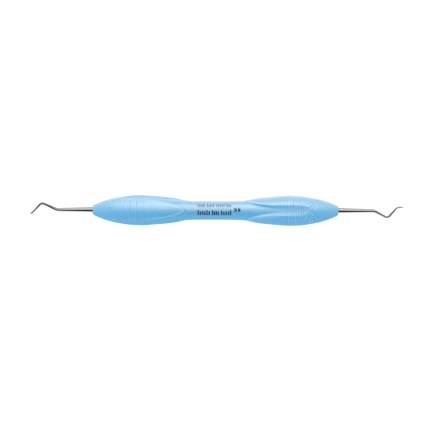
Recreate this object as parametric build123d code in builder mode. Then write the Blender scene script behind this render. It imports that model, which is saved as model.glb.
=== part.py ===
from build123d import *

import os
from math import asin, cos, degrees, radians, sin

# Double-ended dental hand scaler (sickle type), in millimetres.
# The handle lies along X and its middle is the origin. Z is up, and the instrument lies on its side.
# The soft grip has two spindle-shaped bulges joined by a thin waist. Each bulge carries three leaf-shaped
# finger pads with troughs between them, and the two bulges are turned 60 degrees from each other.

# ---- driving dimensions -------------------------------------------------------------------------------
GRIP_END = 54.8  # from the middle of the handle to the end of each nose
WAIST_R = 4.15  # radius of the plain waist
WAIST_END = 11.0  # the waist is a true cylinder this far each side of the middle
BULGE_X = 33.5  # where a bulge is thickest
BULGE_R = 6.85  # its radius there, over the pads
TROUGH_R = 6.25  # radius of the trough floor there
PAD_TIP_X = 14.0  # the pointed end of each pad, near the waist
PAD_MERGE_X = 44.75  # where the troughs run out and the nose is round
PAD_MERGE_R = 5.43
PADS = 3
LEFT, RIGHT = -1, 1
PAD_TURN = {LEFT: 0, RIGHT: 60}  # degrees from straight up to a pad's middle

SHANK_R = 1.275  # steel at the nose, and the tang inside the handle
SOCKET_R = 2.0
SOCKET_MOUTH_X = 51.5
SOCKET_LENGTH = 27.0
SOCKET_FLOOR = 1.2
TANG_GAP = 0.2  # left free between the tang's end and the socket's floor
CORE_WAIST_R = 2.9
CORE_BULGE_R = 4.3
CORE_END_R = 2.6

INK_DEPTH = 0.03

os.makedirs("parts", exist_ok=True)


def facing_plane(turn):
    """The plane through the handle's axis whose normal leans `turn` degrees from +Z towards +Y."""
    return Plane(origin=(0, 0, 0), x_dir=(1, 0, 0), z_dir=(0, sin(radians(turn)), cos(radians(turn))))


def radial_plane(turn):
    """The plane that holds the handle's axis and the radius `turn` degrees from +Z towards +Y."""
    return facing_plane(turn - 90)


# ---- steel sockets, one in each end of the core -------------------------------------------------------
def build_socket(side):
    """A blind steel tube with three ring grooves that the moulded core grips."""
    mouth = side * SOCKET_MOUTH_X
    floor = side * (SOCKET_MOUTH_X - SOCKET_LENGTH)
    groove_width, groove_depth, groove_pitch = 1.2, 0.25, 6.0
    with BuildPart() as socket:
        with BuildSketch(Plane.XY):
            with BuildLine():
                Polyline((floor, 0), (floor, SOCKET_R), (mouth, SOCKET_R), (mouth, 0), close=True)
            make_face()
            with Locations(((mouth + floor) / 2, SOCKET_R)):
                with GridLocations(groove_pitch, 0, 3, 1):
                    Rectangle(groove_width, 2 * groove_depth, mode=Mode.SUBTRACT)
        revolve(axis=Axis.X)
        with BuildSketch(Plane.YZ.offset(floor + side * SOCKET_FLOOR)):
            Circle(SHANK_R)
        extrude(amount=side * (SOCKET_LENGTH - SOCKET_FLOOR), mode=Mode.SUBTRACT)
        mouth_rim = socket.edges().filter_by(GeomType.CIRCLE).group_by(Axis.X)[-1 if side > 0 else 0]
        chamfer(mouth_rim.sort_by(SortBy.LENGTH)[-1], 0.3)
    return socket


left_socket = build_socket(LEFT)
left_socket.part.label = "left_socket"
right_socket = build_socket(RIGHT)
right_socket.part.label = "right_socket"

# ---- rigid core: one glass-fibre filled moulding around both sockets ----------------------------------
ANCHOR_GROOVES = ((12.0, 2.5), (20.0, 2.9), (27.0, 3.5), (40.0, 3.5), (46.5, 2.8))  # place, floor radius
ANCHOR_WIDTH = 1.6

with BuildPart() as handle_core:
    with BuildSketch(Plane.XY):
        with BuildLine():
            flank = Spline(
                (WAIST_END, CORE_WAIST_R),
                (BULGE_X, CORE_BULGE_R),
                (SOCKET_MOUTH_X, CORE_END_R),
                tangents=[(1, 0), (1, -0.32)],
            )
            Line((0, CORE_WAIST_R), flank @ 0)
            Polyline(flank @ 1, (SOCKET_MOUTH_X, 0), (0, 0), (0, CORE_WAIST_R))
        make_face()
        for place, floor_radius in ANCHOR_GROOVES:
            with Locations((place, floor_radius)):
                Rectangle(ANCHOR_WIDTH, 3, align=(Align.CENTER, Align.MIN), mode=Mode.SUBTRACT)
        mirror(about=Plane.YZ)
    revolve(axis=Axis.X)
    for side, socket in ((LEFT, left_socket), (RIGHT, right_socket)):
        with BuildSketch(Plane.YZ.offset(side * (SOCKET_MOUTH_X - SOCKET_LENGTH))):
            Circle(SHANK_R + 0.1)
        extrude(amount=side * SOCKET_LENGTH, mode=Mode.SUBTRACT)
        add(socket.part, mode=Mode.SUBTRACT)
handle_core.part.label = "handle_core"


# ---- scaler tips: tang, shank and sickle blade in one piece of steel ----------------------------------
TIP_ROUTES = {
    # first bend, the corner after it, and the heel of the blade
    LEFT: ((-70.6, 0), (-77.57, 3.21), (-80.4, 0.11)),
    RIGHT: ((70.86, 0), (76.8, -3.19), (80.35, 0.78)),
}
BEND_RADII = (5.0, 1.7)
WIRE_RADII = (SHANK_R, 0.87, 0.5, 0.3)  # at the nose, the first bend, the corner and the blade's heel
HEEL_TURN, HEEL_RADIUS = 28, 2.2  # the blade leaves the shank in a tight curve ...
REACH_TURN, REACH_RADIUS = 38, 4.35  # ... and eases into a flatter one up to its point
BLADE_WIDTH, BLADE_DEPTH = 0.62, 0.6
POINT_SHARE = 0.12  # size of the last section against the first
BLADE_SECTIONS = 7
TANG_RINGS = (29.0, 38.0, 47.0)  # glue grooves round the tang
TANG_RING_WIDTH, TANG_RING_DEPTH = 0.8, 0.15


def blade_section(heel, along, inward, share):
    """The plane and the size of the blade's triangular section at a share of its length."""
    heel_length = radians(HEEL_TURN) * HEEL_RADIUS
    reach_length = radians(REACH_TURN) * REACH_RADIUS
    run = share * (heel_length + reach_length)
    turned = min(run, heel_length) / HEEL_RADIUS
    place = heel + (along * sin(turned) + inward * (1 - cos(turned))) * HEEL_RADIUS
    if run > heel_length:
        extra = (run - heel_length) / REACH_RADIUS
        tangent = along * cos(turned) + inward * sin(turned)
        normal = inward * cos(turned) - along * sin(turned)
        place += (tangent * sin(extra) + normal * (1 - cos(extra))) * REACH_RADIUS
        turned += extra
    tangent = along * cos(turned) + inward * sin(turned)
    normal = inward * cos(turned) - along * sin(turned)
    return Plane(origin=place, x_dir=normal, z_dir=tangent), 1 - (1 - POINT_SHARE) * share**1.3


def build_tip(side, inward):
    """One tip. `inward` points from the blade's heel towards the centre of its curve."""
    nose = (side * GRIP_END, 0)
    first, corner, heel = TIP_ROUTES[side]
    tang_end = SOCKET_MOUTH_X - SOCKET_LENGTH + SOCKET_FLOOR + TANG_GAP
    along = (Vector(*heel) - Vector(*corner)).normalized()
    with BuildPart() as tip:
        with BuildLine() as route:
            FilletPolyline(nose, first, corner, heel, radius=list(BEND_RADII))
        runs = route.edges().sort_by(route.wire())
        ends = [0, runs[0].length, sum(run.length for run in runs[:3]), route.wire().length]
        for end, radius in zip(ends, WIRE_RADII):
            with BuildSketch(Plane(route.wire() ^ (end / ends[-1]))):
                Circle(radius)
        sweep(path=route.wire(), multisection=True)
        with BuildSketch(Plane.XY):
            with BuildLine():
                Polyline((side * tang_end, 0), (side * tang_end, SHANK_R - 0.3),
                         (side * (tang_end + 0.3), SHANK_R), (nose[0], SHANK_R), (nose[0], 0), close=True)
            make_face()
            with Locations(*[(side * ring, SHANK_R) for ring in TANG_RINGS]):
                Rectangle(TANG_RING_WIDTH, 2 * TANG_RING_DEPTH, mode=Mode.SUBTRACT)
        revolve(axis=Axis.X)
        for step in range(BLADE_SECTIONS):
            plane, size = blade_section(Vector(*heel), along, inward, step / (BLADE_SECTIONS - 1))
            with BuildSketch(plane):
                with BuildLine():
                    Polyline((size * BLADE_DEPTH * 0.4, size * BLADE_WIDTH / 2),
                             (size * BLADE_DEPTH * 0.4, -size * BLADE_WIDTH / 2),
                             (-size * BLADE_DEPTH * 0.6, 0), close=True)
                make_face()
        loft()
    return tip


left_tip = build_tip(LEFT, Vector(0, 0, 1))
left_tip.part.label = "left_tip"
right_route_end = (Vector(*TIP_ROUTES[RIGHT][2]) - Vector(*TIP_ROUTES[RIGHT][1])).normalized()
right_tip = build_tip(RIGHT, Vector(right_route_end.Y, -right_route_end.X, 0))
right_tip.part.label = "right_tip"

# ---- soft grip: silicone moulded over the core --------------------------------------------------------
FLOOR_LINE = ((13.5, 4.37), (18.0, 4.77), (24.0, 5.42), (BULGE_X, TROUGH_R), (40.35, 6.0))  # in a trough
PAD_LINE = ((PAD_TIP_X, 4.4), (19.2, 5.5), (25.0, 6.2), (BULGE_X, BULGE_R), (39.0, 6.45))  # over a pad
NOSE_LINE = ((49.55, 4.08), (52.65, 2.85), (54.15, 2.2))  # down the round nose
PAD_EDGE = ((16.0, 1.8), (19.0, 2.75), (24.0, 3.6), (BULGE_X, 4.4))  # half width of a pad, seen from above
PAD_MERGE_WIDTH = 4.7


def build_pad(side, turn):
    """One raised finger pad: a leaf outline cut from the solid under the pads' outer surface."""
    inner_radius = WAIST_R - 1
    with BuildPart() as pad:
        with BuildSketch(Plane.XY):
            with BuildLine():
                top = Spline(*[(side * x, r) for x, r in PAD_LINE], (side * PAD_MERGE_X, PAD_MERGE_R))
                Polyline(top @ 1, (side * PAD_MERGE_X, inner_radius), (side * PAD_TIP_X, inner_radius), top @ 0)
            make_face()
        revolve(axis=Axis.X)
        with BuildSketch(facing_plane(turn)):
            with BuildLine():
                tip = (side * PAD_TIP_X, 0)
                edge = Spline(tip, *[(side * x, w) for x, w in PAD_EDGE], (side * PAD_MERGE_X, PAD_MERGE_WIDTH),
                              tangents=[(0, 1), (side, 0.02)])
                Polyline(edge @ 1, (side * PAD_MERGE_X, 0), tip)
            make_face()
            mirror(about=Plane.XZ)
        extrude(amount=BULGE_R + 1, mode=Mode.INTERSECT)
    return pad


def build_bulge(side):
    """The outside of one half of the grip, from the middle of the waist to the nose."""
    with BuildPart() as bulge:
        with BuildSketch(Plane.XY):
            with BuildLine():
                waist = Line((0, WAIST_R), (side * WAIST_END, WAIST_R))
                floor = Spline(waist @ 1, *[(side * x, r) for x, r in FLOOR_LINE],
                               (side * PAD_MERGE_X, PAD_MERGE_R), tangents=[(side, 0), (side, -0.2)])
                flank = Spline(floor @ 1, *[(side * x, r) for x, r in NOSE_LINE],
                               tangents=[(side, -0.24), (side, -0.45)])
                lip = TangentArc(flank @ 1, (side * GRIP_END, SHANK_R), tangent=flank % 1)
                Polyline(lip @ 1, (side * GRIP_END, 0), (0, 0), (0, WAIST_R))
            make_face()
        revolve(axis=Axis.X)
        for step in range(PADS):
            add(build_pad(side, PAD_TURN[side] + step * 360 / PADS).part)
    return bulge


bulges = [build_bulge(side) for side in (LEFT, RIGHT)]
with BuildPart() as silicone_grip:
    for bulge in bulges:
        add(bulge.part)
    for inner in (handle_core, left_socket, right_socket, left_tip, right_tip):
        add(inner.part, mode=Mode.SUBTRACT)
    with BuildSketch(Plane.YZ):
        Circle(SHANK_R + 0.1)
    extrude(amount=SOCKET_MOUTH_X, both=True, mode=Mode.SUBTRACT)
silicone_grip.part.label = "silicone_grip"

# ---- printed marking on the waist: plain bars ---------------------------------------------------------
# Each bar is (start, end, middle height, bar height), as seen from straight above.
INK_BARS = (
    (-8.0, -5.6, 2.05, 1.3), (-4.6, 3.0, 2.05, 1.3), (4.0, 6.6, 2.05, 1.3),
    (-8.0, -3.2, -1.1, 1.7), (-2.2, 0.6, -1.1, 1.7), (1.6, 6.6, -1.1, 1.7),
    (8.3, 9.2, 0.5, 1.7), (9.8, 10.7, 0.5, 1.7),
)

with BuildPart() as printed_marking:
    for start, end, middle, height in INK_BARS:
        low = degrees(asin((middle - height / 2) / WAIST_R))
        high = degrees(asin((middle + height / 2) / WAIST_R))
        with BuildSketch(radial_plane(high)):
            with Locations((start, WAIST_R)):
                Rectangle(end - start, INK_DEPTH, align=Align.MIN)
        revolve(axis=Axis.X, revolution_arc=high - low)
printed_marking.part.label = "printed_marking"

for piece in (silicone_grip, handle_core, left_socket, right_socket, left_tip, right_tip, printed_marking):
    export_step(piece.part, f"parts/{piece.part.label}.step")
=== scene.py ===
import math

import bpy
import numpy as np
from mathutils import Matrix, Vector


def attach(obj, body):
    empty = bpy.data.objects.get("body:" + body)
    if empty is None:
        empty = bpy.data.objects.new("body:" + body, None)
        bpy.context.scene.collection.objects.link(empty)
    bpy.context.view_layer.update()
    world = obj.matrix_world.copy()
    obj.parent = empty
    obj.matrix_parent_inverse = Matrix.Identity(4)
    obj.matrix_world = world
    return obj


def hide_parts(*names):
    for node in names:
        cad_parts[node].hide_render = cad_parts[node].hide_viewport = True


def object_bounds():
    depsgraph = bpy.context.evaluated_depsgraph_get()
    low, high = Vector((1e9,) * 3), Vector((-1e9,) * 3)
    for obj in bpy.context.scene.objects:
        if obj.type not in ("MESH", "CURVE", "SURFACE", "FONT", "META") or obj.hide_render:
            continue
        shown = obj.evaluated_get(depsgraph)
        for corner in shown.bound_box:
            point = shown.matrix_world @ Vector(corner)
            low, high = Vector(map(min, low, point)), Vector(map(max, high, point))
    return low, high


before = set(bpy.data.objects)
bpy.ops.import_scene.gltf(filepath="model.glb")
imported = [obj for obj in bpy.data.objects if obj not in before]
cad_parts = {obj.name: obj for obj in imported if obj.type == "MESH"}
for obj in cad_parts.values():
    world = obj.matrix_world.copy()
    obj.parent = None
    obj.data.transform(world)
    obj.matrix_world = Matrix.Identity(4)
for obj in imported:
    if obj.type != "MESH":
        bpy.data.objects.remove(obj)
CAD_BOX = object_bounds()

# The hand scaler lies along X with its handle's middle at the origin, +Z up, as in the CAD frame.
# Shapes are worked out in millimetres and written to the scene in metres.
MM = 0.001

# ---- sizes of the grip --------------------------------------------------------------------------------
# Its length, waist, bore and the pads' directions are the CAD part's. The curves of pads, troughs and noses
# are refined here.
GRIP_END = 54.8
WAIST_R, WAIST_FLARE = 4.15, 0.12
WAIST_END = 11.0
SHANK_R = 1.275
SOCKET_MOUTH_X = 51.5
PADS = 3
PAD_TURN = {-1: 0.0, 1: 60.0}  # degrees from straight up to a pad's middle, at the left and the right end
PAD_TIP_X = 13.8
PAD_RISE_X = 12.0  # the pads' line is defined from here on
PAD_MERGE_X = 44.75
LIP_START_X = 53.95
PAD_LINE = ((12.0, 4.68), (14.0, 4.94), (19.2, 5.6), (25.0, 6.22), (33.5, 6.84), (39.0, 6.54), (44.75, 5.58))
FLOOR_LINE = ((11.0, 4.27), (12.5, 4.37), (14.0, 4.54), (18.0, 4.88), (24.0, 5.42), (33.5, 6.1),
              (40.35, 5.96), (44.75, 5.58))
NOSE_LINE = ((44.75, 5.58), (49.55, 4.24), (52.65, 3.03), (53.95, 2.42))
NOSE_END_SLOPE = -0.45  # where the nose turns into the rounded lip
PAD_EDGE = ((13.8, 0.0), (15.3, 1.3), (17.3, 2.12), (20.0, 2.82), (23.0, 3.4), (26.8, 3.95), (30.5, 4.2),
            (34.4, 4.38), (40.2, 4.5), (44.75, 4.55))
# Depth of a trough's wall over its width, at the pads' tips and further on.
WALL_SLOPES, WALL_SLOPE_RANGE = (0.9, 0.57), (18.0, 27.0)
CREASE_ROUND, FLOOR_ROUND = 0.05, 0.16
HOLLOW_RANGE = (21.0, 34.0)  # a trough's flat floor turns into a hollow one between these places
# A faint rim runs just inside the edge of a pad, and gets fainter away from the pad's tip.
PAD_RIM_HEIGHT, PAD_RIM_INSET, PAD_RIM_WIDTH = 0.05, 0.35, 0.4
RIM_FADE_RANGE, RIM_BEYOND = (30.0, 26.0), 0.35
# Strength of the painted highlight, a paler blue, along the rim.
RIM_PAINTED_HIGHLIGHT = 1.9
FOOT_SHADE_WIDTH = 0.3  # width of the painted shade, a darker line at the foot of a trough's wall
# Rim, with its painted highlight, and the painted shade at the foot show only where a trough is deep enough,
# and end just short of where the pads merge.
CLEAR_DEPTH, CLEAR_RANGE = (0.1, 0.3), (44.0, 40.0)

# Ribs curve across each pad. Their places are distances from the end of the nose. Where the left and the
# right pads differ, a value has one entry for each side.
RIB_HEIGHT = 0.19
RIB_WIDTH = 0.27
RIB_FIRST, RIB_LAST = 7.15, 33.0
RIB_PITCH, RIB_PITCH_GROWTH = 3.0, 0.01  # they stand further apart away from the nose
HALFWAY_RIB = 0.4  # strength of the fainter rib half-way between two others
RIDGE_SHARE, GROOVE_SHARE = 0.4, 0.6  # of the height, above and below the pad's surface
GROOVE_SHIFT, GROOVE_WIDTH = 0.52, 0.24  # a finer groove follows each rib
RIB_START = {-1: (8.0, 13.0), 1: (7.45, 10.65)}  # where they fade in
RIB_LAST_FADE = 3.0  # length over which the last ones fade out
RIB_TIP_FADE = (1.0, 4.0)  # they also fade in between these distances from a pad's pointed tip
RIB_FADE, RIB_FADE_RANGE = {-1: 0.45, 1: 0.85}, (19, 25)  # how much fainter they get towards the waist
RIB_BOW, BOW_RANGE = {-1: 1.4, 1: 2.4}, (23.5, 12.0)  # how far their ends bow towards the waist
BACK_BOW, BACK_BOW_RANGE = 1.1, (26.0, 32.0)  # next to the waist they bow the other way
RIB_LEVEL, RIB_EDGE_LEVEL = 0.72, 0.75  # strength at a pad's middle, and what its edge adds
EDGE_PAINTED_LIGHT = {-1: -0.3, 1: 1.3}  # how much more of their painted highlights and shade shows at a pad's edge; below 0, less
NARROWEST_PAD = 0.2  # half angle in radians below which a pad's ribs keep the same bow
ACROSS_LIMIT = 1.15  # ribs keep their bow and level from here on, where 1 is the pad's edge

HALF_SECTOR_STEPS = 24  # mesh steps from a pad's middle to a trough's middle
PAD_STEPS, WALL_STEPS = 12, 8
# Between these places they crowd on the walls, and elsewhere they are even.
FITTED_FROM, FITTED_UNTIL = (15.0, 17.5), (41.0, 44.0)


def spline(points, start_slope, end_slope):
    """A smooth curve y(x) through the points, with the two end slopes given."""
    x, y = np.array(points, float).T
    gap, rise, count = np.diff(x), np.diff(y), len(x)
    rows, right = np.eye(count), np.zeros(count)
    right[0], right[-1] = start_slope, end_slope
    for i in range(1, count - 1):
        rows[i, i - 1 : i + 2] = 1 / gap[i - 1], 2 / gap[i - 1] + 2 / gap[i], 1 / gap[i]
        right[i] = 3 * (rise[i - 1] / gap[i - 1] ** 2 + rise[i] / gap[i] ** 2)
    slope = np.linalg.solve(rows, right)

    def at(where):
        where = np.clip(np.asarray(where, float), x[0], x[-1])
        i = np.clip(np.searchsorted(x, where) - 1, 0, count - 2)
        u = (where - x[i]) / gap[i]
        return (y[i] * (1 + 2 * u) * (1 - u) ** 2 + slope[i] * gap[i] * u * (1 - u) ** 2
                + y[i + 1] * u**2 * (3 - 2 * u) + slope[i + 1] * gap[i] * u**2 * (u - 1))

    return at


def smoothstep(low, high, value):
    t = np.clip((value - low) / (high - low), 0, 1)
    return t * t * (3 - 2 * t)


def soft_ramp(value, rounding):
    """max(value, 0) with its corner rounded."""
    return 0.5 * (value + np.sqrt(value * value + rounding * rounding))


pad_line = spline(PAD_LINE, 0.3, -0.2)
floor_line = spline(FLOOR_LINE, 0.03, -0.2)
nose_line = spline(NOSE_LINE, -0.23, NOSE_END_SLOPE)
pad_edge_squared = spline([(x, w * w) for x, w in PAD_EDGE], 1.1, 0.1)


def waist_line(x):
    return WAIST_R + WAIST_FLARE * np.abs(x / WAIST_END) ** 3


def over_pads(x):
    """Radius of the grip over the middle of a pad, and of the space around its tip before the wall drops."""
    pads = np.where(x < PAD_RISE_X, floor_line(x), np.maximum(pad_line(x), floor_line(x)))
    return np.where(x <= WAIST_END, waist_line(x), np.where(x > PAD_MERGE_X, nose_line(x), pads))


def over_floor(x):
    """Radius of the grip along the middle of a trough."""
    return np.where(x <= WAIST_END, waist_line(x), np.where(x > PAD_MERGE_X, nose_line(x), floor_line(x)))


def pad_half_width(x):
    return np.sqrt(np.clip(pad_edge_squared(x), 0, None)) * (np.asarray(x) >= PAD_TIP_X)


def pad_half_angle(x):
    """Angle from a pad's middle to its edge."""
    return np.arcsin(np.clip(pad_half_width(x) / over_pads(x), 0, math.sin(math.pi / 3)))


EDGE_X = np.linspace(PAD_TIP_X, PAD_MERGE_X, 800)
EDGE_WIDTH = over_pads(EDGE_X) * pad_half_angle(EDGE_X)


def wall_slope(x):
    return WALL_SLOPES[0] + (WALL_SLOPES[1] - WALL_SLOPES[0]) * smoothstep(*WALL_SLOPE_RANGE, x)


def past_edge(x, across):
    """Distance outside a pad's outline, negative inside it, of points `across` from the pad's middle."""
    distance = np.hypot(x - EDGE_X[:, None], across - EDGE_WIDTH[:, None]).min(0)
    inside = across < np.interp(x, EDGE_X, EDGE_WIDTH, left=0.0)
    return np.where(inside, -distance, distance)


def grip_angles(x):
    """Angles from a pad's middle at which one ring has its vertices, closer together on a trough's wall."""
    u = np.linspace(0, 1, HALF_SECTOR_STEPS + 1)
    even = u * math.pi / 3
    edge = pad_half_angle(x)
    wall = (over_pads(x) - over_floor(x)) / wall_slope(x) / over_pads(x)
    foot = min(edge + wall, 0.5 * (edge + wall) + 0.5 * math.pi / 3)
    marks = (0, PAD_STEPS / HALF_SECTOR_STEPS, (PAD_STEPS + WALL_STEPS) / HALF_SECTOR_STEPS, 1)
    fitted = np.interp(u, marks, (0, edge, max(foot, edge + 1e-3), math.pi / 3))
    share = smoothstep(*FITTED_FROM, x) * (1 - smoothstep(*FITTED_UNTIL, x))
    return even + (fitted - even) * share


def trough(x, past, depth):
    """How far the surface lies below the pad's line, how much of a rim is there, and how much painted shade
    lies at a wall's foot.
    """
    slope = wall_slope(x)
    wall = max(depth / slope, 0.05)
    flat = (soft_ramp(past, CREASE_ROUND) - soft_ramp(past - wall, FLOOR_ROUND)) * slope
    flat = np.clip(flat, 0, depth)
    rest = 1 - np.clip(soft_ramp(past, CREASE_ROUND) / max(past.max(), 0.1), 0, 1)
    hollow = smoothstep(*HOLLOW_RANGE, x)
    drop = flat + (depth * (1 - rest * rest) - flat) * hollow
    clear = smoothstep(*CLEAR_DEPTH, depth) * smoothstep(*CLEAR_RANGE, x)
    # The raised rim; grip_ring also paints a highlight along it.
    rim = np.exp(-(((past + PAD_RIM_INSET) / PAD_RIM_WIDTH) ** 2)) * clear
    rim *= RIM_BEYOND + (1 - RIM_BEYOND) * smoothstep(*RIM_FADE_RANGE, x)
    # Painted shade along the foot of the wall.
    foot = np.exp(-(((past - wall) / FOOT_SHADE_WIDTH) ** 2)) * clear * (1 - hollow)
    return drop, rim, foot


def rib_pattern(side, x, from_middle, edge):
    """Depth of the ribs across a pad, and their painted light: a painted highlight above 0 on a ridge,
    painted shade below 0 in a groove.
    """
    depth = GRIP_END - x  # from the end of the nose
    across = np.clip(from_middle / max(edge, NARROWEST_PAD), 0, ACROSS_LIMIT)
    bow = RIB_BOW[side] * smoothstep(*BOW_RANGE, depth) - BACK_BOW * smoothstep(*BACK_BOW_RANGE, depth)
    along = depth - bow * across**2
    growth = RIB_PITCH_GROWTH
    count = np.log(np.maximum(1 + growth * (along - RIB_FIRST) / RIB_PITCH, 1e-3)) / growth
    pitch = RIB_PITCH + growth * (along - RIB_FIRST)
    off = (count - np.round(count)) * pitch
    between = (count - np.round(count - 0.5) - 0.5) * pitch
    ridge = np.exp(-((off / RIB_WIDTH) ** 2)) + HALFWAY_RIB * np.exp(-((between / RIB_WIDTH) ** 2))
    groove = np.exp(-(((off - GROOVE_SHIFT) / GROOVE_WIDTH) ** 2))
    groove += HALFWAY_RIB * np.exp(-(((between - GROOVE_SHIFT) / GROOVE_WIDTH) ** 2))
    shows = smoothstep(*RIB_START[side], along) * (1 - RIB_FADE[side] * smoothstep(*RIB_FADE_RANGE, along))
    shows *= 1 - smoothstep(RIB_LAST - RIB_LAST_FADE, RIB_LAST, along)
    shows *= smoothstep(*RIB_TIP_FADE, x - PAD_TIP_X) * (RIB_LEVEL + RIB_EDGE_LEVEL * across**2)
    depth_here = RIDGE_SHARE * (1 - ridge) + GROOVE_SHARE * groove
    # Painted light of the ribs: a highlight on each ridge, shade in each groove.
    tone = (ridge - groove) * shows * (1 + EDGE_PAINTED_LIGHT[side] * across**4)
    return RIB_HEIGHT * depth_here * shows, tone


def grip_ring(side, x):
    """One ring of the grip's outside: angles from straight up towards +Y, the radius at each, and the painted
    light at each: painted highlights on ridges and rims above 0, painted shade in grooves and at walls' feet
    below 0.
    """
    half = grip_angles(x)
    sector = np.concatenate([half, 2 * math.pi / 3 - half[-2:0:-1]])
    from_middle = np.concatenate([half, half[-2:0:-1]])
    edge, top, floor = float(pad_half_angle(x)), float(over_pads(x)), float(over_floor(x))
    radius = np.full(len(sector), top)
    outline = np.zeros(len(sector))
    if PAD_RISE_X < x < PAD_MERGE_X:
        drop, rim, foot = trough(x, past_edge(x, from_middle * top), top - floor)
        radius += PAD_RIM_HEIGHT * rim - drop
        share = 1 - drop / (top - floor)
        # Painted highlight along the rim, less the painted shade at the wall's foot.
        outline = RIM_PAINTED_HIGHLIGHT * rim - foot
    else:
        share = 1.0 if x >= PAD_MERGE_X else 0.0
    depth, tone = rib_pattern(side, x, from_middle, edge if x < PAD_MERGE_X else math.pi / 3)
    radius -= depth * share
    turn = math.radians(PAD_TURN[side])
    angles = np.concatenate([sector + turn + k * 2 * math.pi / PADS for k in range(PADS)])
    return angles, np.tile(radius, PADS), np.tile(tone * share + outline, PADS)


# ---- mesh tools ---------------------------------------------------------------------------------------
def ring_quads(rings, size, closed):
    """Faces that join neighbouring rings of `size` vertices, and the last ring to the first if closed."""
    here = np.arange(size)
    following = np.roll(here, -1)
    faces = []
    for k in range(rings if closed else rings - 1):
        low, high = k * size, (k + 1) % rings * size
        faces.append(np.stack([low + here, low + following, high + following, high + here], 1))
    return np.concatenate(faces).tolist()


def new_piece(name, vertices_mm, faces, material):
    """A smooth-shaded piece that rides on the root body."""
    mesh = bpy.data.meshes.new(name)
    mesh.from_pydata((np.asarray(vertices_mm, float) * MM).tolist(), [], faces)
    mesh.validate()
    mesh.shade_smooth()
    piece = bpy.data.objects.new(name, mesh)
    bpy.context.scene.collection.objects.link(piece)
    mesh.materials.append(material)
    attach(piece, "root")
    return piece


# ---- silicone grip ------------------------------------------------------------------------------------
RING_SIZE = 2 * HALF_SECTOR_STEPS * PADS
# Rings of one half of the mesh. They are close together in the stretch where the pads have detail.
WAIST_RINGS, FLARE_RINGS, PAD_RINGS, NOSE_RINGS, LIP_RINGS = 10, 8, 250, 16, 8
DETAIL_FROM, DETAIL_UNTIL = PAD_TIP_X - 0.5, 48.5
# The sleeve's inside follows the core, with the keys that fill the core's anchor grooves: (x, radius).
CORE_LINE = ((11.0, 2.9), (33.5, 4.3), (51.5, 2.6))
ANCHOR_GROOVES = ((12.0, 2.5), (20.0, 2.9), (27.0, 3.5), (40.0, 3.5), (46.5, 2.8))
ANCHOR_WIDTH = 1.6
PAINTED_RIB_LIGHT = "rib_painted_light"  # mesh attribute of painted light: above 0 a painted highlight on ridges and rims, below 0 painted shade in grooves and at walls' feet


def grip_stations():
    """Places of the rings along one half of the grip, up to the lip."""
    waist = np.linspace(0, WAIST_END, WAIST_RINGS, endpoint=False)
    flare = np.linspace(WAIST_END, DETAIL_FROM, FLARE_RINGS, endpoint=False)
    pads = np.linspace(DETAIL_FROM, DETAIL_UNTIL, PAD_RINGS, endpoint=False)
    nose = np.linspace(DETAIL_UNTIL, LIP_START_X, NOSE_RINGS)
    return np.concatenate([waist, flare, pads, nose])


def lip_rings():
    """(x, radius) down the rounded lip that hugs the steel shank."""
    start = np.array([LIP_START_X, NOSE_LINE[-1][1]])
    end = np.array([GRIP_END, SHANK_R])
    corner = np.array([GRIP_END, start[1] + NOSE_END_SLOPE * (GRIP_END - LIP_START_X)])
    return [tuple(start * (1 - t) ** 2 + corner * 2 * t * (1 - t) + end * t * t)
            for t in np.linspace(0, 1, LIP_RINGS + 1)[1:]]


def sleeve_inside():
    """(x, radius) along one half of the sleeve's inner wall, from the lip back to the middle."""
    line = spline(CORE_LINE, 0, -0.32)
    inside = [(SOCKET_MOUTH_X, SHANK_R), (SOCKET_MOUTH_X, CORE_LINE[-1][1])]
    for place, floor in reversed(ANCHOR_GROOVES):
        outer, inner = place + ANCHOR_WIDTH / 2, place - ANCHOR_WIDTH / 2
        stretch = np.linspace(inside[-1][0], outer, 6)[1:]
        inside += [(x, float(line(x))) for x in stretch]
        inside += [(outer, floor), (inner, floor), (inner, float(line(inner)))]
    return inside + [(0.0, CORE_LINE[0][1])]


def build_grip(material):
    stations = grip_stations()

    def place(x, angles, radius):
        return np.stack([np.full(len(angles), x), radius * np.sin(angles), radius * np.cos(angles)], 1)

    rings, ring_painted_lights = [], []
    for side in (1, -1):
        ringed = [(x, *grip_ring(side, x)) for x in stations]
        outside = [place(side * x, angles, radius) for x, angles, radius, _ in ringed]
        nose_angles = ringed[-1][1]
        plain = [place(side * x, nose_angles, r) for x, r in lip_rings() + sleeve_inside()]
        rings.append(outside + plain)
        # Painted highlights and shade of each ring, none on the lip and inside.
        ring_painted_lights.append([tone for *_, tone in ringed] + [np.zeros(RING_SIZE)] * len(plain))
    # Left and right halves meet in the waist. The left half's rings start 60 degrees round from the right's,
    # so they are rolled into step.
    step = int(round((PAD_TURN[1] - PAD_TURN[-1]) / 360 * RING_SIZE))
    whole = rings[0] + [np.roll(ring, -step, axis=0) for ring in rings[1]][-2:0:-1]
    tone = ring_painted_lights[0] + [np.roll(ring, -step) for ring in ring_painted_lights[1]][-2:0:-1]
    faces = [face[::-1] for face in ring_quads(len(whole), RING_SIZE, closed=True)]
    grip = new_piece("soft_grip", np.concatenate(whole), faces, material)
    grip.data.attributes.new(PAINTED_RIB_LIGHT, "FLOAT", "POINT").data.foreach_set("value", np.concatenate(tone))
    return grip


# ---- steel tips ---------------------------------------------------------------------------------------
TIP_ROUTES = {  # first bend, the corner after it, and the heel of the blade
    -1: ((-70.6, 0), (-77.57, 3.21), (-80.4, 0.11)),
    1: ((70.86, 0), (76.8, -3.19), (80.35, 0.78)),
}
BEND_RADII = (5.0, 1.7)
# Radius of the steel at the nose, at both ends of the first bend, at both ends of the corner, at the heel.
WIRE_RADII = (SHANK_R, 0.87, 0.68, 0.5, 0.45, 0.38)
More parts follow.
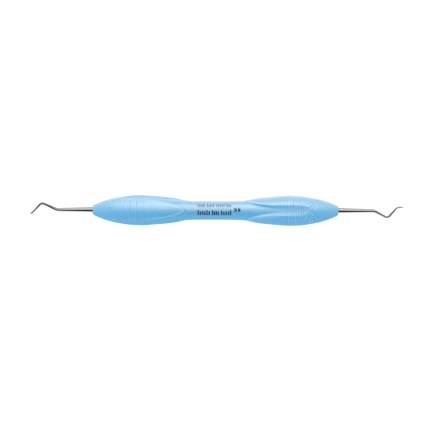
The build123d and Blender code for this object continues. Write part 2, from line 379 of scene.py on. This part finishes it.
# The blade leaves the shank in a tight curve and eases into a flatter one: (degrees, radius, mesh steps).
BLADE_CURVES = ((28, 2.2, 14), (36.3, 4.35, 22))
BLADE_WIDTH, BLADE_DEPTH, POINT_SHARE = 0.76, 0.7, 0.1
FACE_SHARE = 0.4  # of the blade's depth lies between its middle line and its flat face
HEEL_BLEND = 0.9  # the round wire turns into the blade's section over this length on both sides of the heel
TANG_END, TANG_CHAMFER = 26.0, 0.3
# Rings of the mesh: how many in the tang, how far apart on straight runs, how many in a bend.
TANG_RINGS, RUN_STEP, BEND_STEPS = 8, 0.6, 14


def unit(vector):
    return vector / np.linalg.norm(vector)


def arc(start, along, inward, radius, turn, steps):
    """Points and directions of an arc that starts along `along` and bends towards `inward`."""
    angles = np.linspace(0, turn, steps + 1)[:, None]
    points = start + radius * (np.sin(angles) * along + (1 - np.cos(angles)) * inward)
    return points, np.cos(angles) * along + np.sin(angles) * inward


def tip_centreline(side):
    """Points, directions, inward normals and lengths along one tip, and the lengths at its parts' ends."""
    corners = [np.array([x, y, 0]) for x, y in TIP_ROUTES[side]]
    up = np.array([0, 0, 1.0])
    along = np.array([side, 0, 0.0])
    points = [along * x for x in np.linspace(TANG_END, GRIP_END, TANG_RINGS)]
    ways = [along] * TANG_RINGS
    marks, here = [TANG_RINGS - 1], points[-1]
    for corner, after, radius in zip(corners[:2], corners[1:], BEND_RADII):
        along, onward = unit(corner - here), unit(after - corner)
        turn = math.acos(np.clip(along @ onward, -1, 1))
        start = corner - along * radius * math.tan(turn / 2)
        run = np.linalg.norm(start - here)
        steps = max(int(run / RUN_STEP), 4)
        points += [here + (start - here) * t for t in np.linspace(0, 1, steps + 1)[1:-1]]
        ways += [along] * (steps - 1)
        marks.append(len(points))
        inward = unit(onward - (onward @ along) * along)
        bend, directions = arc(start, along, inward, radius, turn, BEND_STEPS)
        points += list(bend)
        ways += list(directions)
        marks.append(len(points) - 1)
        here, along = bend[-1], onward
    heel = corners[-1]
    points += [here + (heel - here) * t for t in np.linspace(0, 1, BEND_STEPS)[1:-1]]
    ways += [along] * (BEND_STEPS - 2)
    marks.append(len(points))
    inward = up if side < 0 else np.cross(along, up)
    normals = [up if side < 0 else np.cross(way, up) for way in ways]
    for degrees, radius, steps in BLADE_CURVES:
        turn = math.radians(degrees)
        bend, directions = arc(heel, along, inward, radius, turn, steps)
        angles = np.linspace(0, turn, steps + 1)[:, None]
        across = np.cos(angles) * inward - np.sin(angles) * along
        skip = 0 if len(points) == marks[-1] else 1
        points += list(bend[skip:])
        ways += list(directions[skip:])
        normals += list(across[skip:])
        heel, along, inward = bend[-1], directions[-1], across[-1]
    points = np.array(points)
    lengths = np.concatenate([[0], np.cumsum(np.linalg.norm(np.diff(points, axis=0), axis=1))])
    return points, np.array(ways), np.array(normals), lengths, lengths[marks]


def blade_outline(angles):
    """Distance from the centreline to the edge of the blade's triangular section, in each direction.
    Direction 0 is inward, to the flat face between the two cutting edges."""
    face, back, half = FACE_SHARE * BLADE_DEPTH, (1 - FACE_SHARE) * BLADE_DEPTH, BLADE_WIDTH / 2
    corners = np.array([(face, half), (-back, 0), (face, -half)])
    reach = np.full(len(angles), np.inf)
    rays = np.stack([np.cos(angles), np.sin(angles)], 1)
    for a, b in zip(corners, np.roll(corners, -1, axis=0)):
        normal = unit(np.array([a[1] - b[1], b[0] - a[0]]))
        if normal @ a < 0:
            normal = -normal
        facing = rays @ normal
        reach = np.where(facing > 1e-6, np.minimum(reach, (normal @ a) / np.maximum(facing, 1e-6)), reach)
    return reach


def build_tip(name, side, material):
    points, ways, normals, lengths, marks = tip_centreline(side)
    cutting = math.atan2(BLADE_WIDTH / 2, FACE_SHARE * BLADE_DEPTH)
    # Vertices sit exactly on the two cutting edges and on the back edge of the blade.
    face_steps, side_steps = 14, 17
    angles = np.concatenate([
        np.linspace(-cutting, cutting, face_steps, endpoint=False),
        np.linspace(cutting, math.pi, side_steps, endpoint=False),
        np.linspace(math.pi, 2 * math.pi - cutting, side_steps, endpoint=False),
    ])
    wire = np.interp(lengths, marks, WIRE_RADII)
    wire[0] = SHANK_R - TANG_CHAMFER
    heel, end = marks[-1], lengths[-1]
    morph = smoothstep(heel - HEEL_BLEND, heel + HEEL_BLEND, lengths)
    share = np.clip((lengths - heel) / (end - heel), 0, 1)
    size = 1 - (1 - POINT_SHARE) * share**5
    outline = blade_outline(angles)
    vertices = []
    for point, way, normal, radius, mixed, scale in zip(points, ways, normals, wire, morph, size):
        across = np.cross(way, normal)
        reach = (radius * (1 - mixed) + outline * mixed) * scale
        vertices.append(point + reach[:, None] * (np.cos(angles)[:, None] * normal
                                                  + np.sin(angles)[:, None] * across))
    count = len(angles)
    faces = ring_quads(len(points), count, closed=False)
    faces.append(list(range(count - 1, -1, -1)))
    faces.append(list(range((len(points) - 1) * count, len(points) * count)))
    tip = new_piece(name, np.concatenate(vertices), faces, material)
    tip.data.set_sharp_from_angle(angle=math.radians(32))
    return tip


# ---- printed marking: plain ticks, no lettering -------------------------------------------------------
INK_TOP, INK_SUNK = 0.025, 0.02
# (start, end, foot, height, tick width, gap) of each group of ticks, as seen from straight above
INK_GROUPS = (
    (-7.9, -4.8, 1.5, 1.35, 0.32, 0.42),
    (-3.8, -0.6, 1.5, 1.35, 0.32, 0.42),
    (0.5, 4.0, 1.5, 1.35, 0.32, 0.42),
    (5.0, 6.8, 1.5, 1.35, 0.32, 0.42),
    (-7.9, -2.5, -2.1, 2.15, 0.56, 0.32),
    (-1.5, 1.5, -2.1, 2.15, 0.56, 0.32),
    (2.5, 7.0, -2.1, 2.15, 0.56, 0.32),
    (8.4, 9.5, -0.5, 1.7, 0.5, 0.1),
    (10.0, 11.0, -0.5, 1.7, 0.5, 0.1),
)
TICK_HEIGHTS = (1.0, 0.74, 0.82, 0.74, 1.0, 0.78)  # shares of the height, tick after tick


def ink_tick(start, end, low, high):
    """A thin closed slab on the waist between two places along it and two angles round it."""
    turns = np.linspace(low, high, 9)
    corners = ((start, -INK_SUNK), (end, -INK_SUNK), (end, INK_TOP), (start, INK_TOP))
    vertices = [(x, (waist_line(x) + rise) * math.sin(a), (waist_line(x) + rise) * math.cos(a))
                for x, rise in corners for a in turns]
    return vertices, len(turns)


def build_marking(material):
    vertices, faces = [], []
    for start, end, foot, height, width, gap in INK_GROUPS:
        low = math.asin(foot / WAIST_R)
        count = max(int(round((end - start + gap) / (width + gap))), 1)
        pitch = (end - start - width) / max(count - 1, 1)
        for k in range(count):
            high = math.asin((foot + height * TICK_HEIGHTS[k % len(TICK_HEIGHTS)]) / WAIST_R)
            slab, size = ink_tick(start + k * pitch, start + k * pitch + width, low, high)
            base = len(vertices)
            vertices += slab
            for row in range(4):
                a, b = base + row * size, base + (row + 1) % 4 * size
                faces += [[a + i, a + i + 1, b + i + 1, b + i] for i in range(size - 1)]
            faces.append([base + row * size for row in (0, 1, 2, 3)])
            faces.append([base + row * size + size - 1 for row in (3, 2, 1, 0)])
    piece = new_piece("waist_ticks", vertices, faces, material)
    piece.data.set_sharp_from_angle(angle=math.radians(30))
    return piece


# ---- materials ----------------------------------------------------------------------------------------
def node_adder(tree):
    """A helper that adds a node to a tree, with its settings and its inputs set or linked."""

    def add(kind, inputs=(), **settings):
        node = tree.nodes.new(kind)
        for key, value in settings.items():
            setattr(node, key, value)
        for key, value in dict(inputs).items():
            if isinstance(value, bpy.types.NodeSocket):
                tree.links.new(value, node.inputs[key])
            else:
                node.inputs[key].default_value = value
        return node

    return add


def new_material(name):
    """A material with a Principled shader, a helper that adds nodes, and a helper that links sockets."""
    material = bpy.data.materials.new(name)
    material.use_nodes = True
    tree = material.node_tree
    shader = tree.nodes["Principled BSDF"]

    def drive(socket, source):
        tree.links.new(source, shader.inputs[socket])

    return material, shader, node_adder(tree), drive


def object_noise(add, scale, detail=3.0, stretch=(1, 1, 1)):
    """Noise in the object's own coordinates, in metres, stretched along an axis where asked."""
    place = add("ShaderNodeTexCoord").outputs["Object"]
    mapped = add("ShaderNodeMapping", {"Vector": place, "Scale": stretch}).outputs["Vector"]
    return add("ShaderNodeTexNoise", {"Vector": mapped, "Scale": scale, "Detail": detail,
                                      "Roughness": 0.55}).outputs["Fac"]


def spread(add, source, low, high):
    """A noise value spread over the range low to high."""
    return add("ShaderNodeMapRange", {"Value": source, "From Min": 0.3, "From Max": 0.7,
                                      "To Min": low, "To Max": high}).outputs["Result"]


def mixed_colour(add, source, first, second):
    """A colour between two others, each an (r, g, b) or another node's output."""
    first, second = ((*colour, 1) if isinstance(colour, tuple) else colour for colour in (first, second))
    return add("ShaderNodeMix", {"Factor": source, 6: first, 7: second}, data_type="RGBA").outputs[2]


def bump(add, source, strength, distance):
    inputs = {"Height": source, "Strength": strength, "Distance": distance}
    return add("ShaderNodeBump", inputs).outputs["Normal"]


def silicone_material():
    material, shader, add, drive = new_material("silicone_blue")
    cloudy = spread(add, object_noise(add, 90, 2), 0, 1)
    blue = mixed_colour(add, cloudy, (0.086, 0.44, 0.785), (0.096, 0.46, 0.81))
    # The rib attribute paints light into the blue: a painted highlight, paler and less saturated, on ridges
    # and rims, and painted shade, darker and more saturated, in grooves and at walls' feet.
    rib_painted_light = add("ShaderNodeAttribute", attribute_name=PAINTED_RIB_LIGHT).outputs["Fac"]
    painted_light_inputs = {"Color": blue}
    for socket, grooves, ridges in (("Saturation", 1.14, 0.86), ("Value", 0.88, 1.12)):
        painted_light_inputs[socket] = add("ShaderNodeMapRange", {"Value": rib_painted_light, "From Min": -2.0, "From Max": 2.0,
                                                   "To Min": grooves, "To Max": ridges}).outputs["Result"]
    drive("Base Color", add("ShaderNodeHueSaturation", painted_light_inputs).outputs["Color"])
    drive("Roughness", spread(add, object_noise(add, 700, 4), 0.29, 0.37))
    drive("Normal", bump(add, object_noise(add, 5200, 3), 0.10, 0.00004))
    shader.inputs["Subsurface Weight"].default_value = 0.25
    shader.inputs["Subsurface Radius"].default_value = (0.5, 0.8, 1.0)
    shader.inputs["Subsurface Scale"].default_value = 0.0012
    shader.inputs["Specular IOR Level"].default_value = 1.0
    shader.inputs["IOR"].default_value = 1.61
    shader.inputs["Specular Tint"].default_value = (1.0, 0.68, 0.2, 1)
    return material


# Metres from the middle where the steel turns darker, and how far both lie further out at the right end and
# further in at the left one.
DARK_FROM, DARK_FULL, DARK_SHIFT = 0.071, 0.076, 0.0025


def steel_material(name, tone, blade_tone, rough_low, rough_high, line_strength):
    """Steel with fine turning lines round X, faint stains and an uneven polish, darker towards the blades."""
    material, shader, add, drive = new_material(name)
    stains = spread(add, object_noise(add, 420, 3), 0, 1)
    shank = mixed_colour(add, stains, tuple(0.9 * value for value in tone), tone)
    place = add("ShaderNodeTexCoord").outputs["Object"]
    along = add("ShaderNodeSeparateXYZ", {"Vector": place}).outputs["X"]
    shifted = add("ShaderNodeMath", {0: along, 1: DARK_SHIFT}, operation="SUBTRACT").outputs["Value"]
    from_middle = add("ShaderNodeMath", {0: shifted}, operation="ABSOLUTE").outputs["Value"]
    towards = add("ShaderNodeMapRange", {"Value": from_middle, "From Min": DARK_FROM, "From Max": DARK_FULL},
                  interpolation_type="SMOOTHSTEP").outputs["Result"]
    drive("Base Color", mixed_colour(add, towards, shank, blade_tone))
    drive("Roughness", spread(add, object_noise(add, 900, 4, (6, 1, 1)), rough_low, rough_high))
    drive("Normal", bump(add, object_noise(add, 1400, 2, (14, 1, 1)), line_strength, 0.00002))
    shader.inputs["Metallic"].default_value = 1.0
    return material


def ink_material():
    material, shader, add, drive = new_material("ink_navy")
    patchy = spread(add, object_noise(add, 1500, 4), 0, 1)
    drive("Base Color", mixed_colour(add, patchy, (0.003, 0.035, 0.085), (0.006, 0.055, 0.125)))
    drive("Roughness", spread(add, object_noise(add, 2500, 3), 0.6, 0.75))
    shader.inputs["Specular IOR Level"].default_value = 0.15
    return material


def core_material():
    """Glass-fibre filled plastic: off-white with short streaks along the handle."""
    material, shader, add, drive = new_material("core_fibre_plastic")
    fibres = spread(add, object_noise(add, 900, 4, (0.25, 1, 1)), 0, 1)
    drive("Base Color", mixed_colour(add, fibres, (0.62, 0.62, 0.58), (0.74, 0.74, 0.71)))
    drive("Roughness", spread(add, object_noise(add, 1600, 3, (0.25, 1, 1)), 0.5, 0.65))
    drive("Normal", bump(add, fibres, 0.3, 0.00003))
    return material


# ---- the object ---------------------------------------------------------------------------------------
grip = build_grip(silicone_material())
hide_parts("silicone_grip")
tip_steel = steel_material("tip_steel_polished", (0.152, 0.148, 0.143), (0.054, 0.052, 0.05),
                           0.07, 0.12, 0.12)
for label, side in (("left", -1), ("right", 1)):
    tip = build_tip(f"{label}_sickle_tip", side, tip_steel)
    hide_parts(f"{label}_tip")
marking = build_marking(ink_material())
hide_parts("printed_marking")

socket_steel = steel_material("socket_steel_turned", (0.5, 0.5, 0.5), (0.5, 0.5, 0.5), 0.28, 0.4, 0.5)
carried_over = {"handle_core": core_material(), "left_socket": socket_steel, "right_socket": socket_steel}
for node, material in carried_over.items():
    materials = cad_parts[node].data.materials
    materials.clear()
    materials.append(material)

# ---- stage, light and camera --------------------------------------------------------------------------
FLOOR_Z = CAD_BOX[0].z
FLOOR_FLAT, FLOOR_RIM, RIM_HEIGHT = 0.9, 1.5, 0.55
TABLE_GLOW, RIM_GLOW, GLOW_RANGE = 0.96, 0.86, (0.15, 0.6)
# What the gloss sees of the table: a card that is bright beyond the object's +Y side and dim on the other.
CARD_EDGE, CARD_GLOW = (0.003, 0.013), (0.4, 2.3)
# Reflections: brightness of the light tent by angle from overhead towards +Y, over the middle of the object.
TENT = ((-90, 0.6), (-68, 0.6), (-58, 0.0), (-3, 0.0), (6, 1.0), (14, 2.4), (26, 3.6), (38, 5.2), (60, 5.2),
        (90, 3.7))
TENT_ENDS = 1.4  # brightness towards both ends of the object
MIDDLE_REACH, ENDS_REACH = 0.28, 0.7  # sines of the angles off the middle where the one fades into the other
# Diffuse light: where each large soft panel stands (direction from the object) and how strongly it lights.
PANEL_DISTANCE, PANEL_SIZE = 0.7, 0.5
PANELS = {
    "overhead_panel": ((0, 0, 1), 0.66),
    "key_panel": ((0, 0.87, 0.5), 0.15),
    "fill_panel": ((0, -0.87, 0.5), 0.15),
    "left_panel": ((-0.87, 0, 0.5), 0.26),
    "right_panel": ((0.87, 0, 0.5), 0.2),
}
# A slanted strip close on the -Y side gives the steel alone its bright lower edge: (Y, Z) of its long sides.
STRIP_SIDES = ((-0.030, 0.016), (-0.0045, -0.0065))
STRIP_LENGTH, STRIP_LEVEL = 0.19, 5.0


def build_floor():
    """A round pale table whose rim curves up all round, so that every view ends in a plain surface."""
    steps = 96
    profile = [(r, 0.0) for r in np.linspace(0.01, FLOOR_FLAT, 24)]
    profile += [(FLOOR_FLAT + (FLOOR_RIM - FLOOR_FLAT) * math.sin(a), RIM_HEIGHT * (1 - math.cos(a)))
                for a in np.linspace(0, math.pi / 2, 20)[1:]]
    turns = np.linspace(0, 2 * math.pi, steps, endpoint=False)
    vertices = [(r * math.cos(a), r * math.sin(a), FLOOR_Z + z) for r, z in profile for a in turns]
    faces = [face[::-1] for face in ring_quads(len(profile), steps, closed=False)]
    faces.append(list(range(steps)))
    mesh = bpy.data.meshes.new("pale_table")
    mesh.from_pydata(vertices, [], faces)
    mesh.shade_smooth()
    material, shader, add, drive = new_material("pale_table")
    shader.inputs["Base Color"].default_value = (0.16, 0.16, 0.16, 1)
    shader.inputs["Roughness"].default_value = 0.8
    shader.inputs["Specular IOR Level"].default_value = 0.1
    shader.inputs["Emission Color"].default_value = (1, 1, 1, 1)
    place = add("ShaderNodeNewGeometry").outputs["Position"]
    away = add("ShaderNodeVectorMath", {0: place}, operation="LENGTH").outputs["Value"]
    glow = add("ShaderNodeMapRange", {"Value": away, "From Min": GLOW_RANGE[0], "From Max": GLOW_RANGE[1],
                                      "To Min": TABLE_GLOW, "To Max": RIM_GLOW},
               interpolation_type="SMOOTHSTEP")
    across = add("ShaderNodeSeparateXYZ", {"Vector": place}).outputs["Y"]
    card = add("ShaderNodeMapRange", {"Value": across, "From Min": CARD_EDGE[0], "From Max": CARD_EDGE[1],
                                      "To Min": CARD_GLOW[0], "To Max": CARD_GLOW[1]},
               interpolation_type="SMOOTHSTEP")
    glossy = add("ShaderNodeLightPath").outputs["Is Glossy Ray"]
    seen = add("ShaderNodeMix", {"Factor": glossy, 2: glow.outputs["Result"], 3: card.outputs["Result"]})
    drive("Emission Strength", seen.outputs["Result"])
    mesh.materials.append(material)
    table = bpy.data.objects.new("pale_table", mesh)
    bpy.context.scene.collection.objects.link(table)


def build_tent():
    """What the gloss reflects: a bright wall on the +Y side, a dark gap on the -Y side, and pale ends."""
    world = bpy.data.worlds.new("light_tent")
    bpy.context.scene.world = world
    world.use_nodes = True
    world.cycles_visibility.diffuse = False
    add = node_adder(world.node_tree)
    ways = add("ShaderNodeSeparateXYZ", {"Vector": add("ShaderNodeTexCoord").outputs["Generated"]})
    lean = add("ShaderNodeMath", {0: ways.outputs["Y"], 1: ways.outputs["Z"]}, operation="ARCTAN2")
    place = add("ShaderNodeMapRange", {"Value": lean.outputs["Value"], "From Min": -math.pi / 2,
                                       "From Max": math.pi / 2})
    ramp = add("ShaderNodeValToRGB", {"Fac": place.outputs["Result"]})
    stops = ramp.color_ramp.elements
    while len(stops) < len(TENT):
        stops.new(0.5)
    for stop, (angle, level) in zip(stops, TENT):
        stop.position = (angle + 90) / 180
        stop.color = (level, level, level, 1)
    off = add("ShaderNodeMath", {0: ways.outputs["X"]}, operation="ABSOLUTE")
    ends = add("ShaderNodeMapRange", {"Value": off.outputs["Value"], "From Min": MIDDLE_REACH,
                                      "From Max": ENDS_REACH}, interpolation_type="SMOOTHSTEP")
    glow = mixed_colour(add, ends.outputs["Result"], ramp.outputs["Color"], (TENT_ENDS,) * 3)
    world.node_tree.links.new(glow, world.node_tree.nodes["Background"].inputs["Color"])


def build_panels():
    """Large soft panels that light the object evenly; they give no reflections of their own."""
    for name, (way, level) in PANELS.items():
        light = bpy.data.lights.new(name, "AREA")
        light.size = PANEL_SIZE
        light.energy = level * math.pi**2 * PANEL_DISTANCE**2
        panel = bpy.data.objects.new(name, light)
        panel.location = Vector(way).normalized() * PANEL_DISTANCE
        panel.rotation_euler = Vector(way).to_track_quat("Z", "Y").to_euler()
        panel.visible_glossy = False
        bpy.context.scene.collection.objects.link(panel)


def build_strip():
    """The strip light, linked to the two steel tips only."""
    light = bpy.data.lights.new("steel_strip", "AREA")
    light.shape = "RECTANGLE"
    near, far = (np.array(side) for side in STRIP_SIDES)
    width = float(np.linalg.norm(near - far))
    light.size, light.size_y = STRIP_LENGTH, width
    light.energy = STRIP_LEVEL * math.pi * STRIP_LENGTH * width
    strip = bpy.data.objects.new("steel_strip", light)
    middle = (near + far) / 2
    strip.location = (0, *middle)
    normal = Vector((0, near[1] - far[1], far[0] - near[0]))
    strip.rotation_euler = normal.to_track_quat("Z", "Y").to_euler()
    strip.rotation_euler.rotate_axis("X", math.pi)
    strip.visible_camera = False
    steel = bpy.data.collections.new("steel_pieces")
    for name in ("left_sickle_tip", "right_sickle_tip"):
        steel.objects.link(bpy.data.objects[name])
    strip.light_linking.receiver_collection = steel
    bpy.context.scene.collection.objects.link(strip)


build_floor()
build_tent()
build_panels()
build_strip()
bpy.context.scene.view_settings.view_transform = "Standard"

FRAME_WIDTH = 0.19189  # how much of the table the picture's width shows
CAMERA_LENS, SENSOR = 100.0, 36.0
CAMERA_X, CAMERA_Y, CAMERA_ROLL = -0.0002, -0.00204, 0.21
camera = bpy.data.objects.new("camera", bpy.data.cameras.new("camera"))
camera.data.lens, camera.data.sensor_width = CAMERA_LENS, SENSOR
camera.location = (CAMERA_X, CAMERA_Y, FRAME_WIDTH * CAMERA_LENS / SENSOR)
camera.rotation_euler = (0, 0, math.radians(CAMERA_ROLL))
camera.data.clip_start, camera.data.clip_end = 0.01, 10
bpy.context.scene.collection.objects.link(camera)
bpy.context.scene.camera = camera
